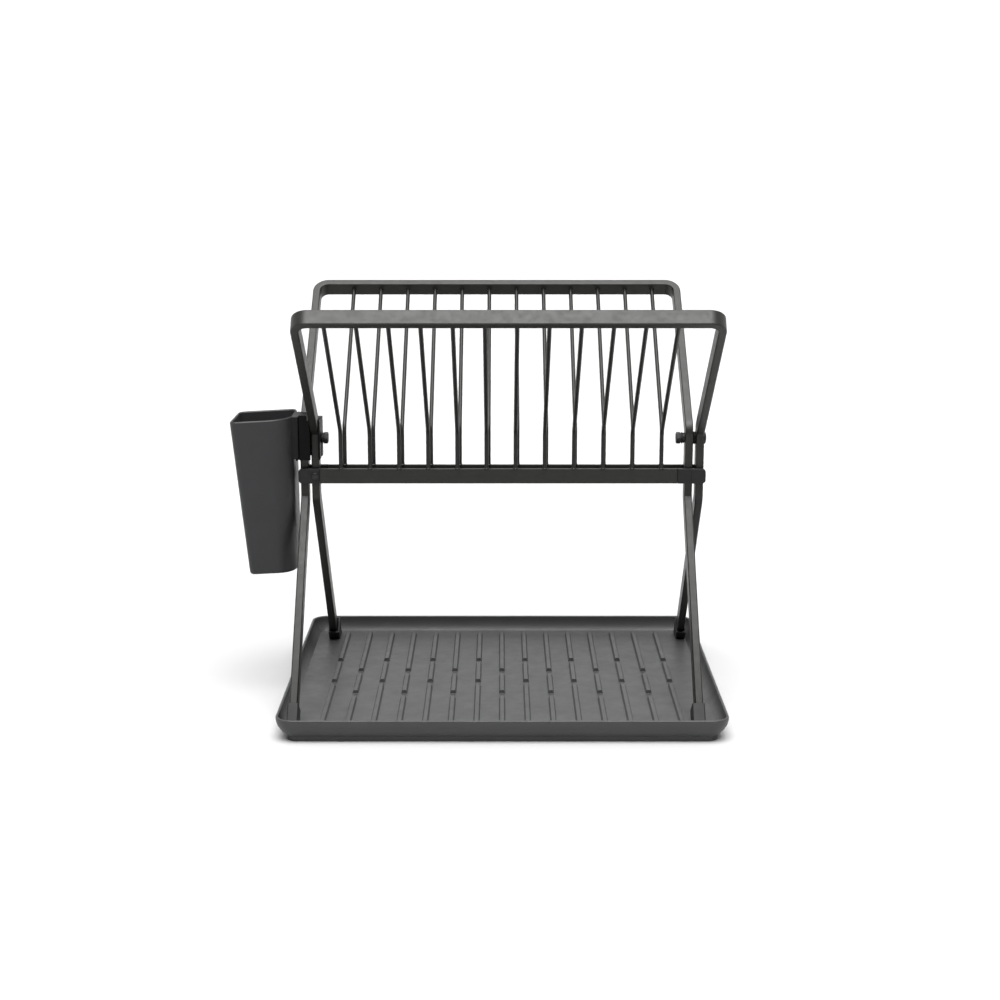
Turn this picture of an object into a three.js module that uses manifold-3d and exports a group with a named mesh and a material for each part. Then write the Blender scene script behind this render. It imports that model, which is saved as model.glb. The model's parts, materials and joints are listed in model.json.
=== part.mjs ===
// A folding drying rack that stands in a drip tray, with a utensil cup clipped to its left side.
// Two identical U-shaped bar frames cross at a pivot on each side. The front frame carries its rack
// bar in front and stands on feet at the back; the rear frame is the same frame turned half round.
// Millimetres. +X is to the right, +Y to the back, +Z up. The origin is the centre of the underside.

import * as THREE from "three";
import { mergeVertices } from "three/addons/utils/BufferGeometryUtils.js";
import Module from "manifold-3d";

const wasm = await Module();
wasm.setup();

// ---------------------------------------------------------------- driving dimensions

const GAP = 0.3; // left between pieces that touch
const HOLE_PLAY = 0.3; // between a pin and its hole, all round
const CUT = 1; // how far a cutter runs past the face it cuts

// Drip tray
const TRAY_WIDTH = 410;
const TRAY_DEPTH = 342;
const TRAY_HEIGHT = 22;
const TRAY_FLOOR_TOP = 7;
const TRAY_FLOOR_BOTTOM = 5;
const PLINTH_WIDTH = 390;
const PLINTH_DEPTH = 328;
const PLINTH_CORNER = 10;
const PLINTH_BAND = 14;
const TRAY_CORNER = 16;
const TRAY_WALL = 2.5;
// The wall curves in towards the floor: by this much in X and Y, along a power curve of the height.
const TRAY_OUTSIDE_CURVE = [9.3, 6.6];
const TRAY_INSIDE_CURVE = [6.4, 5];
const TRAY_CURVE_POWER = 2.2;
const TRAY_CORNER_LOSS = 7; // how much smaller the corner radius is at the floor than at the rim
const TRAY_CURVE_STEPS = 6;

// Drainage ribs on the tray floor
const RIB_COLUMNS = 15;
const RIB_PITCH = 23.6;
const RIB_WIDTH = 6.4;
const RIB_HEIGHT = 3.5;
const RIB_RUNS_EVEN = [[-148, -28], [-15.5, 41.5], [53, 148]];
const RIB_RUNS_ODD = [[-148, -65], [-50, 4], [19, 148]];

// Bar frames
const BAR_WIDTH = 15;
const BAR_THICKNESS = 7.5;
const FRAME_WIDTH = 378;
const FRAME_SPACING = 3.2; // between the two frames' legs on each side
const CORNER_RADIUS = 11.75; // centre line of the bend between an arm and the rack bar
const CORNER_STEPS = 6;
const BEND_RADIUS = 11; // centre line of the bends above and below the neck
const BEND_STEPS = 4;
const RACK_BAR_Y = -154;
const RACK_BAR_Z = 380;
const UPPER_BEND_Z = 257;
const LOWER_BEND_Z = 191;
const FOOT_Y = 145; // where the leg's centre line meets the sole
const PIVOT_Z = 249;

// Rods
const ROD_COUNT = 12;
const ROD_PITCH = 28;
const ROD_DIAMETER = 4;
const ROD_SHIFT = -1; // each frame's rods stand beside the other frame's
const ROD_KINK_Z = 257;
const ROD_STEPS = 12;

// Shelf bar and its plastic end blocks
const SHELF_HEIGHT = 14.5;
const SHELF_THICKNESS = 3;
const SHELF_Z = 213.5;
const BLOCK_THICKNESS = 5.2;
const BLOCK_END_X = 196;
const SHORT_BLOCK = 20.5;
const LONG_BLOCK = 27.2;
const BLOCK_CORNER = 3.5;
const TONGUE_HEIGHT = 8;
const SHORT_TONGUE = 11;
const LONG_TONGUE = 25;
const RIVET_DIAMETER = 4;
const RIVET_HEAD = 7.6;
const RIVET_HEAD_HEIGHT = 1.4;
const RIVET_DEPTH = 6; // of its hole in the neck
// The rivet's domed head as [share of its height, share of its radius].
const RIVET_DOME = [[0, 0], [0.14, 0.6], [0.6, 1], [1, 1]];

// Foot sleeves
const FOOT_WALL = 2.8; // in front of and behind the leg
const FOOT_FACING_WALL = 1.1; // next to the other frame's leg
const FOOT_INNER_WALL = 2.9;
const FOOT_OUTER_WALL = 1.4;
const FOOT_LENGTH = 19.4; // along the leg's centre line
const FOOT_SOCKET = 9.3;

// Pivot hardware
const BOLT_DIAMETER = 6;
const BOLT_HEAD = 12;
const BOLT_HEAD_HEIGHT = 2.3;
// The bolt's domed head as [share of its height, share of its radius].
const BOLT_DOME = [[0, 0], [0.1, 0.45], [0.35, 0.78], [0.7, 0.95], [1, 1]];
const SPACER_DIAMETER = 12;
const WASHER_DIAMETER = 10;
const KNOB_WIDTH = 12;
const KNOB_LENGTH = 6.4;
const KNOB_HOLE_DEPTH = 4.6;
const PLATE_THICKNESS = 1.6; // bracket plate under the left knob, washer under the right one

// Holder bracket and utensil cup
const BRACKET_TOP = 273;
const BRACKET_BOTTOM_OUT = 229;
const BRACKET_BOTTOM_IN = 230;
const BRACKET_HALF_DEPTH = 15;
const OUTER_PLATE_TOP = 270; // lower than the rest, to leave room for the cup's tab
const INNER_PLATE_TOP = 268;
const LOBE_BOTTOM = 229.5;
const WEDGE_TIP = 1.2; // how far the wedge's blunt tip is above the crossing of the arms
const NECK_CLEARANCE = 3; // the necks turn towards the lobes while the rack folds
const ARM_CLEARANCE = 0.5;
const OUTER_PLATE_X = -197.6;
const OUTER_PLATE = 1.5;
const CUP_HEIGHT = 151;
const CUP_TOP_WIDTH = 58;
const CUP_TOP_DEPTH = 66;
const CUP_TAPER = THREE.MathUtils.degToRad(2.5); // each side
const CUP_TILT = THREE.MathUtils.degToRad(-3);
const CUP_CORNERS = [9, 9, 7, 24]; // at the rim: back right, back left, front left, front right
const CUP_BOTTOM_CORNERS = 0.7; // their radii at the bottom, as a share of those at the rim
const CUP_WALL = 1.8;
const CUP_FLOOR = 2.2;
const CUP_FOOT = new THREE.Vector3(-221.3, 0, 120); // centre of its underside
const RAIL_BOTTOM = 231;
const RAIL_WALL = 1.1;
const HOOK_REACH = 3; // how far each rail's hook reaches behind the plate
const TAB_BOTTOM = OUTER_PLATE_TOP + GAP;
const TAB_TOP = TAB_BOTTOM + 1.5;
const REAR_OVERLAP = 3.4; // how far the tab and the rear rail run past the plate, into the cup's wall
const FRONT_OVERLAP = 4.3; // the front rail meets the wall where its corner is already rounding

// ---------------------------------------------------------------- colours

const MATERIALS = {
  frame: new THREE.MeshStandardMaterial({ color: 0x4a4a47, roughness: 0.55, metalness: 0.35 }),
  tray: new THREE.MeshStandardMaterial({ color: 0x4b4b4d, roughness: 0.6, metalness: 0 }),
  cup: new THREE.MeshStandardMaterial({ color: 0x424244, roughness: 0.6, metalness: 0 }),
  black: new THREE.MeshStandardMaterial({ color: 0x1b1b1b, roughness: 0.55, metalness: 0 }),
  fastener: new THREE.MeshStandardMaterial({ color: 0x2b2b2b, roughness: 0.4, metalness: 0.6 }),
};

// ---------------------------------------------------------------- solids

function merged(geometry) {
  const bare = geometry.clone();
  bare.deleteAttribute("normal");
  bare.deleteAttribute("uv");
  return mergeVertices(bare, 1e-3);
}

function solid(geometry) {
  const closed = merged(geometry);
  const triVerts = new Uint32Array(closed.index.array);
  const vertProperties = closed.attributes.position.array;
  return new wasm.Manifold(new wasm.Mesh({ numProp: 3, vertProperties, triVerts }));
}

function geometryOf(shape) {
  const { vertProperties, triVerts } = shape.getMesh();
  const geometry = new THREE.BufferGeometry();
  geometry.setAttribute("position", new THREE.BufferAttribute(vertProperties, 3));
  geometry.setIndex(new THREE.BufferAttribute(triVerts, 1));
  return geometry;
}

function cut(base, ...cutters) {
  return cutters.reduce((left, cutter) => left.subtract(cutter), base);
}

function join(base, ...others) {
  return others.reduce((whole, other) => whole.add(other), base);
}

function box(low, high) {
  const size = high.map((value, i) => value - low[i]);
  const centre = high.map((value, i) => (value + low[i]) / 2);
  return solid(new THREE.BoxGeometry(...size).translate(...centre));
}

// A cylinder along X or Y between two places on that axis.
function rod(axis, radius, from, to, centre, sides = 16) {
  const geometry = new THREE.CylinderGeometry(radius, radius, to - from, sides);
  if (axis === "x") geometry.rotateZ(Math.PI / 2);
  const middle = (from + to) / 2;
  const place = axis === "x" ? [middle, centre[0], centre[1]] : [centre[0], middle, centre[1]];
  return solid(geometry.translate(...place));
}

// A body turned about X. Its profile holds [distance along X, radius], starting and ending on the
// axis or closing on itself, and `direction` says which way along X the distances count.
function turned(profile, x, direction, sides = 20) {
  const points = profile.map(([along, radius]) => new THREE.Vector2(radius, along));
  const geometry = new THREE.LatheGeometry(points, sides);
  return geometry.rotateZ(-direction * Math.PI / 2).translate(x, 0, 0);
}

function polygon(points) {
  return new THREE.Shape(points.map(([y, z]) => new THREE.Vector2(y, z)));
}

// An outline in the Y-Z plane, extruded from one X to another.
function sideExtrusion(outline, fromX, toX) {
  const options = { depth: toX - fromX, bevelEnabled: false, curveSegments: 6 };
  const geometry = new THREE.ExtrudeGeometry(outline, options);
  const yzx = new THREE.Matrix4().makeBasis(
    new THREE.Vector3(0, 1, 0),
    new THREE.Vector3(0, 0, 1),
    new THREE.Vector3(1, 0, 0),
  );
  return solid(geometry.applyMatrix4(yzx).translate(fromX, 0, 0));
}

// One ring of a rounded rectangle, counter-clockwise seen from above. The radius is one number, or
// one for each corner: back right, back left, front left, front right.
function roundedRing(halfX, halfY, corner, z, segments = 5) {
  const ring = [];
  const corners = [[1, 1], [-1, 1], [-1, -1], [1, -1]];
  corners.forEach(([sx, sy], quarter) => {
    const radius = Array.isArray(corner) ? corner[quarter] : corner;
    for (let i = 0; i <= segments; i += 1) {
      const angle = (quarter + i / segments) * (Math.PI / 2);
      const x = sx * (halfX - radius) + radius * Math.cos(angle);
      const y = sy * (halfY - radius) + radius * Math.sin(angle);
      ring.push(new THREE.Vector3(x, y, z));
    }
  });
  return ring;
}

// A closed body through rings of equal length. Each ring runs counter-clockwise about the way on.
function lofted(rings) {
  const count = rings[0].length;
  const index = [];
  for (let k = 0; k + 1 < rings.length; k += 1) {
    for (let i = 0; i < count; i += 1) {
      const a = k * count + i;
      const b = k * count + ((i + 1) % count);
      index.push(a, b, b + count, a, b + count, a + count);
    }
  }
  const last = (rings.length - 1) * count;
  for (let i = 1; i + 1 < count; i += 1) {
    index.push(0, i + 1, i);
    index.push(last, last + i, last + i + 1);
  }
  const geometry = new THREE.BufferGeometry().setFromPoints(rings.flat());
  geometry.setIndex(index);
  return geometry;
}

function mesh(name, geometry, material) {
  const piece = new THREE.Mesh(merged(geometry), material);
  piece.name = name;
  return piece;
}

// ---------------------------------------------------------------- drip tray

// Rings from the bottom up to the rim, closer together low down, where the wall curves most.
function trayRings(rimInset, curve, bottom) {
  const rings = [];
  for (let k = 0; k <= TRAY_CURVE_STEPS; k += 1) {
    const rise = (k / TRAY_CURVE_STEPS) ** 2;
    const bend = (1 - rise) ** TRAY_CURVE_POWER;
    const halfX = TRAY_WIDTH / 2 - rimInset - curve[0] * bend;
    const halfY = TRAY_DEPTH / 2 - rimInset - curve[1] * bend;
    const corner = TRAY_CORNER - rimInset - TRAY_CORNER_LOSS * bend;
    rings.push(roundedRing(halfX, halfY, corner, bottom + (TRAY_HEIGHT - bottom) * rise));
  }
  return rings;
}

function trayShell() {
  const outside = trayRings(0, TRAY_OUTSIDE_CURVE, TRAY_FLOOR_BOTTOM);
  const inside = trayRings(TRAY_WALL, TRAY_INSIDE_CURVE, TRAY_FLOOR_TOP);
  const rim = inside[inside.length - 1];
  inside.push(rim.map((point) => point.clone().setZ(TRAY_HEIGHT + CUT)));
  return cut(solid(lofted(outside)), solid(lofted(inside)));
}

// The flat band that the tray stands on, all round and crosswise through the middle.
function plinth() {
  const halfX = PLINTH_WIDTH / 2;
  const halfY = PLINTH_DEPTH / 2;
  const half = PLINTH_BAND / 2;
  const top = (TRAY_FLOOR_BOTTOM + TRAY_FLOOR_TOP) / 2;
  const ring = (inset, z) => roundedRing(halfX - inset, halfY - inset, PLINTH_CORNER, z, 3);
  const outer = solid(lofted([ring(0, 0), ring(0, top)]));
  const inner = solid(lofted([ring(PLINTH_BAND, -CUT), ring(PLINTH_BAND, TRAY_FLOOR_BOTTOM)]));
  const cross = join(
    box([half - halfX, -half, 0], [halfX - half, half, top]),
    box([-half, half - halfY, 0], [half, halfY - half, top]),
  );
  return join(cut(outer, inner), cross);
}

function ribs() {
  const solids = [];
  for (let column = 0; column < RIB_COLUMNS; column += 1) {
    const x = (column - (RIB_COLUMNS - 1) / 2) * RIB_PITCH;
    const runs = column % 2 === 0 ? RIB_RUNS_EVEN : RIB_RUNS_ODD;
    for (const [from, to] of runs) {
      const low = [x - RIB_WIDTH / 2, from, (TRAY_FLOOR_BOTTOM + TRAY_FLOOR_TOP) / 2];
      const high = [x + RIB_WIDTH / 2, to, TRAY_FLOOR_TOP + RIB_HEIGHT];
      solids.push(box(low, high));
    }
  }
  return solids;
}

function dripTray() {
  const whole = join(trayShell(), plinth(), ...ribs());
  return mesh("drip_tray", geometryOf(whole), MATERIALS.tray);
}

// ---------------------------------------------------------------- one bar frame

const FRAME_SHIFT = (BAR_THICKNESS + FRAME_SPACING) / 2;
const SOLE_Z = TRAY_FLOOR_TOP + GAP;
const LEG_X = FRAME_WIDTH / 2 - BAR_THICKNESS / 2;
const LEG_ANGLE = Math.atan2(FOOT_Y, LOWER_BEND_Z - SOLE_Z);
const ARM_ANGLE = Math.atan2(-RACK_BAR_Y, RACK_BAR_Z - UPPER_BEND_Z);
const LEG_DOWN = new THREE.Vector2(Math.sin(LEG_ANGLE), -Math.cos(LEG_ANGLE));
const LEG_ACROSS = new THREE.Vector2(Math.cos(LEG_ANGLE), Math.sin(LEG_ANGLE));
const ARM_UP = new THREE.Vector2(-Math.sin(ARM_ANGLE), Math.cos(ARM_ANGLE));
const LEFT_LEG_X = FRAME_SHIFT - LEG_X;
const RIGHT_LEG_X = FRAME_SHIFT + LEG_X;

// Stations along a line through 2D points, with the inner corners rounded to the radius.
function bentStations(points, radius, steps) {
  const way = (from, to) => to.clone().sub(from).normalize();
  const stations = [{ point: points[0], tangent: way(points[0], points[1]) }];
  for (let i = 1; i + 1 < points.length; i += 1) {
    const before = way(points[i - 1], points[i]);
    const after = way(points[i], points[i + 1]);
    const turn = Math.atan2(before.cross(after), before.dot(after));
    const start = points[i].clone().addScaledVector(before, -radius * Math.tan(Math.abs(turn) / 2));
    const side = new THREE.Vector2(-before.y, before.x).multiplyScalar(Math.sign(turn));
    const centre = start.clone().addScaledVector(side, radius);
    for (let k = 0; k <= steps; k += 1) {
      const angle = (turn * k) / steps;
      const point = start.clone().rotateAround(centre, angle);
      stations.push({ point, tangent: before.clone().rotateAround(new THREE.Vector2(), angle) });
    }
  }
  const last = points[points.length - 1];
  stations.push({ point: last, tangent: way(points[points.length - 2], last) });
  return stations;
}

// The leg, neck and arm seen from the side, from the foot up to where the corner bend begins.
function sideStations() {
  const fromSole = FOOT_LENGTH - FOOT_SOCKET + GAP;
  const legEnd = new THREE.Vector2(FOOT_Y, SOLE_Z).addScaledVector(LEG_DOWN, -fromSole);
  const corner = new THREE.Vector2(RACK_BAR_Y, RACK_BAR_Z).addScaledVector(ARM_UP, -CORNER_RADIUS);
  const bends = [new THREE.Vector2(0, LOWER_BEND_Z), new THREE.Vector2(0, UPPER_BEND_Z)];
  return bentStations([legEnd, ...bends, corner], BEND_RADIUS, BEND_STEPS);
}

function barRing(centre, outward, across) {
  const corners = [[-1, -1], [1, -1], [1, 1], [-1, 1]];
  return corners.map(([i, j]) => centre.clone()
    .addScaledVector(outward, (i * BAR_THICKNESS) / 2)
    .addScaledVector(across, (j * BAR_WIDTH) / 2));
}

// Rings of the flat bar from the left foot, up and over the rack bar, to the right foot.
function frameBarRings() {
  const legRings = (side) => sideStations().map(({ point, tangent }) => barRing(
    new THREE.Vector3(side * LEG_X, point.x, point.y),
    new THREE.Vector3(side, 0, 0),
    new THREE.Vector3(0, -tangent.y, tangent.x),
  ));
  const up = new THREE.Vector3(0, ARM_UP.x, ARM_UP.y);
  const across = new THREE.Vector3(0, -ARM_UP.y, ARM_UP.x);
  const bendCentre = new THREE.Vector3(0, RACK_BAR_Y, RACK_BAR_Z).addScaledVector(up, -CORNER_RADIUS);
  const cornerRings = (side) => {
    const rings = [];
    for (let k = 1; k <= CORNER_STEPS; k += 1) {
      const angle = (k / CORNER_STEPS) * (Math.PI / 2);
      const sideways = new THREE.Vector3(side * Math.cos(angle), 0, 0);
      const outward = sideways.addScaledVector(up, Math.sin(angle));
      const centre = bendCentre.clone().addScaledVector(outward, CORNER_RADIUS);
      centre.x += side * (LEG_X - CORNER_RADIUS);
      rings.push(barRing(centre, outward, across));
    }
    return rings;
  };
  return [...legRings(-1), ...cornerRings(-1), ...cornerRings(1).reverse(), ...legRings(1).reverse()];
}

function frameBar() {
  const bar = solid(lofted(frameBarRings()).translate(FRAME_SHIFT, 0, 0));
  const boltRadius = BOLT_DIAMETER / 2 + HOLE_PLAY;
  const rivetRadius = RIVET_DIAMETER / 2 + HOLE_PLAY;
  const half = BAR_THICKNESS / 2 + CUT;
  const front = -BAR_WIDTH / 2;
  const holes = [];
  for (const x of [LEFT_LEG_X, RIGHT_LEG_X]) {
    holes.push(rod("x", boltRadius, x - half, x + half, [0, PIVOT_Z]));
    holes.push(rod("y", rivetRadius, front - CUT, front + RIVET_DEPTH, [x, SHELF_Z], 12));
  }
  return geometryOf(cut(bar, ...holes));
}

// ---------------------------------------------------------------- shelf bar, blocks and rivets

const BLOCK_BACK_Y = -BAR_WIDTH / 2 - GAP;
const BLOCK_FRONT_Y = BLOCK_BACK_Y - BLOCK_THICKNESS;
const SHELF_Y = (BLOCK_BACK_Y + BLOCK_FRONT_Y) / 2;
const SHELF_LEFT = SHORT_BLOCK - BLOCK_END_X + GAP;
const SHELF_RIGHT = BLOCK_END_X - LONG_BLOCK - GAP;
const TONGUE_LEFT = SHELF_LEFT - SHORT_TONGUE;
const TONGUE_RIGHT = SHELF_RIGHT + LONG_TONGUE;

function shelfBar() {
  const slab = (fromX, toX, height) => box(
    [fromX, SHELF_Y - SHELF_THICKNESS / 2, SHELF_Z - height / 2],
    [toX, SHELF_Y + SHELF_THICKNESS / 2, SHELF_Z + height / 2],
  );
  const tongues = slab(TONGUE_LEFT, TONGUE_RIGHT, TONGUE_HEIGHT);
  const bar = join(slab(SHELF_LEFT, SHELF_RIGHT, SHELF_HEIGHT), tongues);
  const radius = RIVET_DIAMETER / 2 + HOLE_PLAY;
  const hole = (x) => rod("y", radius, BLOCK_FRONT_Y, BLOCK_BACK_Y, [x, SHELF_Z], 12);
  return geometryOf(cut(bar, hole(LEFT_LEG_X), hole(RIGHT_LEG_X)));
}

// A block over one end of the shelf bar. side is -1 for the left one, whose rivet shows in front.
function endBlock(side, length, tongueEnd, legX) {
  const inner = BLOCK_END_X - length;
  const half = SHELF_HEIGHT / 2;
  const r = BLOCK_CORNER;
  const shape = new THREE.Shape();
  shape.moveTo(inner, -half);
  shape.lineTo(BLOCK_END_X - r, -half);
  shape.absarc(BLOCK_END_X - r, r - half, r, -Math.PI / 2, 0);
  shape.absarc(BLOCK_END_X - r, half - r, r, 0, Math.PI / 2);
  shape.lineTo(inner, half);
  const options = { depth: BLOCK_THICKNESS, bevelEnabled: false, curveSegments: 4 };
  const plate = new THREE.ExtrudeGeometry(shape, options).rotateX(Math.PI / 2);
  if (side < 0) plate.rotateZ(Math.PI).translate(0, -BLOCK_THICKNESS, 0);
  plate.translate(0, BLOCK_BACK_Y, SHELF_Z);
  const socketEnds = [side * (inner - CUT), tongueEnd + side * GAP].sort((a, b) => a - b);
  const socketHalf = { y: SHELF_THICKNESS / 2 + GAP, z: TONGUE_HEIGHT / 2 + GAP };
  const socket = box(
    [socketEnds[0], SHELF_Y - socketHalf.y, SHELF_Z - socketHalf.z],
    [socketEnds[1], SHELF_Y + socketHalf.y, SHELF_Z + socketHalf.z],
  );
  const holeFront = side < 0 ? BLOCK_FRONT_Y - CUT : SHELF_Y;
  const holeRadius = RIVET_DIAMETER / 2 + HOLE_PLAY;
  const hole = rod("y", holeRadius, holeFront, BLOCK_BACK_Y + CUT, [legX, SHELF_Z], 12);
  return geometryOf(cut(solid(plate), socket, hole));
}

// Turned along +Y instead of X: the rivets' heads face the front.
function frontPin(profile, x, y) {
  return turned(profile, 0, 1, 12).rotateZ(Math.PI / 2).translate(x, y, SHELF_Z);
}

function rivet() {
  const shank = RIVET_DIAMETER / 2;
  const headBack = RIVET_HEAD_HEIGHT;
  const end = headBack + GAP + BLOCK_THICKNESS + RIVET_DEPTH;
  const dome = RIVET_DOME.map(([height, radius]) => [height * headBack, (radius * RIVET_HEAD) / 2]);
  const profile = [...dome, [headBack, shank], [end, shank], [end, 0]];
  return frontPin(profile, LEFT_LEG_X, BLOCK_FRONT_Y - GAP - RIVET_HEAD_HEIGHT);
}

function hiddenPin() {
  const front = SHELF_Y - SHELF_THICKNESS / 2;
  const end = RIVET_DEPTH - GAP - BAR_WIDTH / 2 - front;
  const shank = RIVET_DIAMETER / 2;
  return frontPin([[0, 0], [0, shank], [end, shank], [end, 0]], RIGHT_LEG_X, front);
}

// ---------------------------------------------------------------- feet and rods

// A sleeve over the leg's end with a flat sole on the tray floor.
function foot(legX, wallBelow, wallAbove) {
  const half = BAR_WIDTH / 2 + FOOT_WALL;
  const axis = new THREE.Vector2(FOOT_Y, SOLE_Z);
  const rim = axis.clone().addScaledVector(LEG_DOWN, -FOOT_LENGTH);
  const rimFront = rim.clone().addScaledVector(LEG_ACROSS, -half);
  const rimBack = rim.clone().addScaledVector(LEG_ACROSS, half);
  const soleHalf = half / Math.cos(LEG_ANGLE);
  const sole = [[axis.x - soleHalf, SOLE_Z], [axis.x + soleHalf, SOLE_Z]];
  const outline = polygon([...sole, rimBack.toArray(), rimFront.toArray()]);
  const left = legX - BAR_THICKNESS / 2 - wallBelow;
  const right = legX + BAR_THICKNESS / 2 + wallAbove;
  const sleeve = sideExtrusion(outline, left, right);
  const play = 2 * HOLE_PLAY;
  const socket = new THREE.BoxGeometry(BAR_THICKNESS + play, BAR_WIDTH + play, FOOT_SOCKET + CUT);
  socket.translate(0, 0, (CUT - FOOT_SOCKET) / 2).rotateX(LEG_ANGLE).translate(legX, rim.x, rim.y);
  return geometryOf(cut(sleeve, solid(socket)));
}

// A rod from the rack bar's inner face down to the top of the shelf bar, bent once on the way.
function rodGeometry(x) {
  const inner = BAR_THICKNESS / 2 + GAP;
  const top = new THREE.Vector3(x, RACK_BAR_Y - ARM_UP.x * inner, RACK_BAR_Z - ARM_UP.y * inner);
  const kink = new THREE.Vector3(x, SHELF_Y, ROD_KINK_Z);
  const bottom = new THREE.Vector3(x, SHELF_Y, SHELF_Z + SHELF_HEIGHT / 2 + GAP);
  const path = new THREE.CurvePath();
  path.add(new THREE.LineCurve3(bottom, kink));
  path.add(new THREE.LineCurve3(kink, top));
  const section = new THREE.Shape().absarc(0, 0, ROD_DIAMETER / 2, 0, 2 * Math.PI);
  return new THREE.ExtrudeGeometry(section, { steps: ROD_STEPS, extrudePath: path, curveSegments: 4 });
}

// ---------------------------------------------------------------- a whole frame

// The prefix says which frame it is; left and right are the sides the pieces end up on.
function rackFrame(prefix, left, right) {
  const frame = new THREE.Group();
  const add = (name, geometry, material) => frame.add(mesh(`${prefix}_${name}`, geometry, material));
  add("frame_bar", frameBar(), MATERIALS.frame);
  add("shelf_bar", shelfBar(), MATERIALS.frame);
  add(`shelf_block_${left}`, endBlock(-1, SHORT_BLOCK, TONGUE_LEFT, LEFT_LEG_X), MATERIALS.black);
  add(`shelf_block_${right}`, endBlock(1, LONG_BLOCK, TONGUE_RIGHT, RIGHT_LEG_X), MATERIALS.black);
  add("shelf_rivet", rivet(), MATERIALS.fastener);
  add("shelf_pin", hiddenPin(), MATERIALS.fastener);
  add(`foot_${left}`, foot(LEFT_LEG_X, FOOT_FACING_WALL, FOOT_INNER_WALL), MATERIALS.black);
  add(`foot_${right}`, foot(RIGHT_LEG_X, FOOT_FACING_WALL, FOOT_OUTER_WALL), MATERIALS.black);
  for (let i = 0; i < ROD_COUNT; i += 1) {
    const x = (i - (ROD_COUNT - 1) / 2) * ROD_PITCH + ROD_SHIFT;
    add(`rod_${String(i + 1).padStart(2, "0")}`, rodGeometry(x), MATERIALS.frame);
  }
  return frame;
}

// ---------------------------------------------------------------- pivot hardware

const OUTER_FACE = FRAME_SHIFT + FRAME_WIDTH / 2;
const INNER_FACE = OUTER_FACE - 2 * BAR_THICKNESS - FRAME_SPACING;
const KNOB_START = INNER_FACE - GAP - PLATE_THICKNESS - GAP;

function atPivot(geometry) {
  return geometry.translate(0, 0, PIVOT_Z);
}

// The bolt's head is outside both legs and its shank runs inwards into the knob.
function pivotBolt(side) {
  const shank = BOLT_DIAMETER / 2;
  const headBack = BOLT_HEAD_HEIGHT;
  const headTop = OUTER_FACE + GAP + headBack;
  const end = headTop - (KNOB_START - KNOB_HOLE_DEPTH + GAP);
  const dome = BOLT_DOME.map(([height, radius]) => [height * headBack, (radius * BOLT_HEAD) / 2]);
  const profile = [...dome, [headBack, shank], [end, shank], [end, 0]];
  return atPivot(turned(profile, side * headTop, -side));
}

function ring(side, from, to, outerDiameter) {
  const bore = BOLT_DIAMETER / 2 + HOLE_PLAY;
  const radius = outerDiameter / 2;
  const thickness = Math.abs(to - from);
  const profile = [[0, bore], [0, radius], [thickness, radius], [thickness, bore], [0, bore]];
  return atPivot(turned(profile, side * Math.max(from, to), -side));
}

function spacer(side) {
  const outer = OUTER_FACE - BAR_THICKNESS - GAP;
  return ring(side, outer - FRAME_SPACING + 2 * GAP, outer, SPACER_DIAMETER);
}

function washer(side) {
  return ring(side, INNER_FACE - GAP - PLATE_THICKNESS, INNER_FACE - GAP, WASHER_DIAMETER);
}

// A six-sided cap nut with a flat on top, blind towards the inside of the rack.
function knob(side) {
  const middle = side * (KNOB_START - KNOB_LENGTH / 2);
  const body = new THREE.CylinderGeometry(KNOB_WIDTH / 2, KNOB_WIDTH / 2, KNOB_LENGTH, 6);
  body.rotateY(Math.PI / 6).rotateZ(Math.PI / 2).translate(middle, 0, PIVOT_Z);
  const holeEnds = [side * (KNOB_START + CUT), side * (KNOB_START - KNOB_HOLE_DEPTH)];
  const [holeLow, holeHigh] = holeEnds.sort((a, b) => a - b);
  const hole = rod("x", BOLT_DIAMETER / 2 + HOLE_PLAY, holeLow, holeHigh, [0, PIVOT_Z]);
  return geometryOf(cut(solid(body), hole));
}

function pivotHardware() {
  const hub = new THREE.Group();
  for (const [side, name] of [[-1, "left"], [1, "right"]]) {
    hub.add(mesh(`${name}_pivot_bolt`, pivotBolt(side), MATERIALS.fastener));
    hub.add(mesh(`${name}_pivot_spacer`, spacer(side), MATERIALS.black));
    hub.add(mesh(`${name}_pivot_knob`, knob(side), MATERIALS.black));
  }
  hub.add(mesh("right_pivot_washer", washer(1), MATERIALS.fastener));
  return hub;
}

// ---------------------------------------------------------------- holder bracket

// Where the upper faces of the two frames' arms cross, seen from the side.
const CROTCH_Z = UPPER_BEND_Z + BAR_WIDTH / 2 / Math.sin(ARM_ANGLE);

function crotchHalfWidth(z) {
  return (z - CROTCH_Z) * Math.tan(ARM_ANGLE) - ARM_CLEARANCE / Math.cos(ARM_ANGLE);
}

// The wedge that rests in the V between the arms of both frames.
function bracketWedge() {
  const tipZ = CROTCH_Z + WEDGE_TIP;
  const tip = crotchHalfWidth(tipZ);
  const top = crotchHalfWidth(BRACKET_TOP);
  const outline = polygon([[-tip, tipZ], [tip, tipZ], [top, BRACKET_TOP], [-top, BRACKET_TOP]]);
  return sideExtrusion(outline, OUTER_PLATE_X, -(INNER_FACE - GAP - PLATE_THICKNESS));
}

// A lobe that fills the V beside one arm: in front of the rear frame's, behind the front frame's.
function bracketLobe(facing, depth, fromX, toX) {
  const near = BAR_WIDTH / 2 + NECK_CLEARANCE;
  const top = crotchHalfWidth(BRACKET_TOP);
  const kneeZ = BRACKET_TOP - (top + near) / Math.tan(ARM_ANGLE);
  const outline = [[depth, LOBE_BOTTOM], [near, LOBE_BOTTOM], [near, kneeZ], [-top, BRACKET_TOP],
    [depth, BRACKET_TOP]];
  return sideExtrusion(polygon(outline.map(([y, z]) => [facing * y, z])), fromX, toX);
}

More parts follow.
